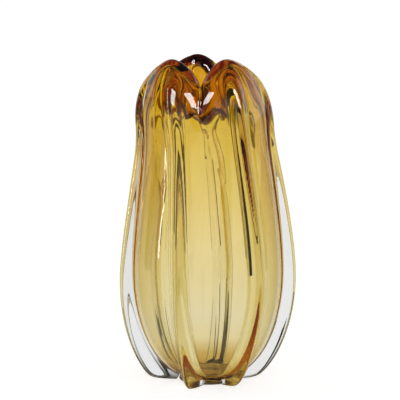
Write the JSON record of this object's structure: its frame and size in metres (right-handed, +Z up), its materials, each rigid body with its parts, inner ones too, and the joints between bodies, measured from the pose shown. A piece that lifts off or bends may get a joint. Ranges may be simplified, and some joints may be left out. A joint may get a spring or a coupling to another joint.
{
  "type": "glass vase",
  "caption": "Tall blown glass vase: amber vessel with a folded, three-lobed mouth, clear glass ribs from feet to crown and a ground base pad, for cut flowers.",
  "frame": {"origin": "on the standing plane, under the vase's axis", "axes": "+Z up along the vase's axis, -Y towards the front, +X to the right seen from the front"},
  "size_m": [0.1615, 0.1523, 0.296],
  "materials": {
    "amber_glass": "fire-polished",
    "clear_glass": "fire-polished"
  },
  "bodies": {
    "root": {"amber_vessel": "amber_glass", "base_pad": "clear_glass", "rib_front_left": "clear_glass", "rib_front_right": "clear_glass", "rib_right": "clear_glass", "rib_back": "clear_glass", "rib_back_left": "clear_glass", "rib_left": "clear_glass"}
  },
  "joints": []
}
